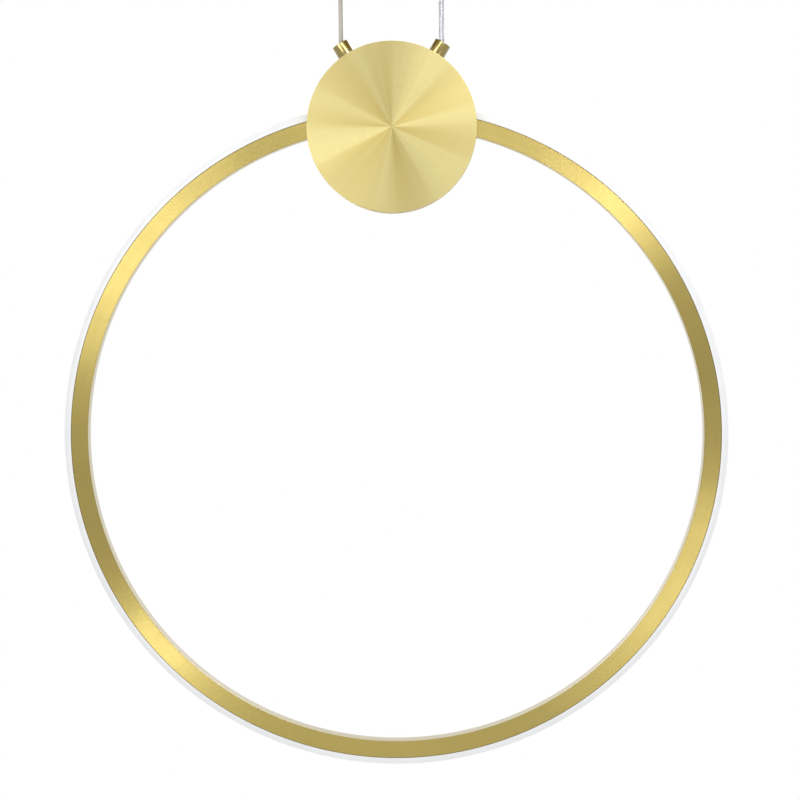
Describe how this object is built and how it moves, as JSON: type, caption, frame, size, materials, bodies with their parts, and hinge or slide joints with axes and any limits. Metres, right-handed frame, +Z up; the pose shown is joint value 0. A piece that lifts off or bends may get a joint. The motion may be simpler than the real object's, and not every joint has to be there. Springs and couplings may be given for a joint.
{
  "type": "pendant light",
  "caption": "Thin brass ring pendant light with an outward-facing diffuser, hung by a round drum on two cords from a ceiling canopy.",
  "frame": {"origin": "on the ceiling, in the middle of the ceiling plate's two screw slots", "axes": "+Z up into the ceiling, the pendant hangs towards -Z; the drum's face looks towards -Y; +X to the right seen from the front, which is the power cord's side"},
  "size_m": [0.6, 0.1348, 0.7397],
  "materials": {
    "ring_brass": "brushed along the ring and coloured brass, satin",
    "face_brass": "turned on a lathe, fine concentric lines, lacquered, satin",
    "shell_brass": "brushed round the side, lacquered, satin",
    "grip_brass": "turned and polished, lacquered",
    "canopy_brass": "spun, brushed round, lacquered, satin",
    "screw_brass": "polished heads",
    "plated_steel": "zinc plated, satin",
    "screw_steel": "zinc plated, gloss",
    "cast_saddle": "die cast, matte",
    "opal_diffuser": "opal, frosted, satin",
    "white_nylon": "moulded, matte",
    "driver_case": "moulded with a fine grain, matte",
    "strip_board": "white solder mask, satin",
    "led_phosphor": "yellow phosphor in clear silicone, gloss",
    "grey_cord": "warm grey jacket, matte",
    "clear_cord": "clear jacket over two silvery cores, gloss",
    "black_lead": "flexible sleeve, satin",
    "green_lead": "green and yellow sleeve, satin"
  },
  "bodies": {
    "canopy": {"ceiling_plate": "plated_steel", "canopy_cup": "canopy_brass", "canopy_screws": "screw_brass", "left_canopy_grip": "grip_brass", "right_canopy_grip": "grip_brass", "canopy_nipples": "plated_steel", "canopy_nuts": "plated_steel", "canopy_collets": "white_nylon", "upper_cord_stop": "plated_steel", "left_cord_top": "grey_cord", "right_cord_top": "clear_cord", "driver": "driver_case", "terminal_block": "white_nylon", "terminal_screws": "screw_brass", "plate_screws": "screw_steel", "earth_screw": "screw_brass", "mains_leads": "black_lead", "earth_lead": "green_lead"},
    "cord_necks": {"left_cord_neck": "grey_cord", "right_cord_neck": "clear_cord"},
    "left_cord": {"left_cord": "grey_cord"},
    "right_cord": {"right_cord": "clear_cord"},
    "cord_tails": {"left_cord_tail": "grey_cord", "right_cord_tail": "clear_cord"},
    "pendant": {"left_grip": "grip_brass", "right_grip": "grip_brass", "grip_nipples": "plated_steel", "grip_nuts": "plated_steel", "grip_collets": "white_nylon", "lower_cord_stop": "plated_steel", "left_cord_end": "grey_cord", "right_cord_end": "clear_cord", "connector": "white_nylon", "connector_screws": "screw_brass", "led_leads": "black_lead", "drum_face": "face_brass", "drum_shell": "shell_brass", "pillars": "plated_steel", "rear_screws": "screw_brass", "ring_saddles": "cast_saddle", "saddle_straps": "plated_steel", "strap_screws": "screw_steel", "saddle_screws": "screw_brass", "splice_plate": "plated_steel", "splice_screws": "screw_steel", "ring_channel": "ring_brass", "led_strip": "strip_board", "leds": "led_phosphor", "diffuser": "opal_diffuser"}
  },
  "joints": [
    {"name": "swing", "type": "hinge", "parent": "canopy", "child": "cord_necks", "pos_m": [0, 0, -0.036], "axis": [1, 0, 0], "range_deg": [-25, 25]},
    {"name": "sway", "type": "hinge", "parent": "cord_necks", "child": "left_cord", "pos_m": [-0.04494, 0, -0.04], "axis": [0, 1, 0], "range_deg": [-15, 15]},
    {"name": "sway_right", "type": "hinge", "parent": "cord_necks", "child": "right_cord", "pos_m": [0.04494, 0, -0.04], "axis": [0, 1, 0], "range_deg": [-15, 15]},
    {"name": "level", "type": "hinge", "parent": "left_cord", "child": "cord_tails", "pos_m": [-0.04494, 0, -0.086], "axis": [0, 1, 0], "range_deg": [-15, 15]},
    {"name": "nod", "type": "hinge", "parent": "cord_tails", "child": "pendant", "pos_m": [0, 0, -0.09], "axis": [1, 0, 0], "range_deg": [-15, 15]}
  ],
  "couplings": [
    {"joint": "sway_right", "follows": "sway", "ratio": 1},
    {"joint": "level", "follows": "sway", "ratio": -1}
  ]
}
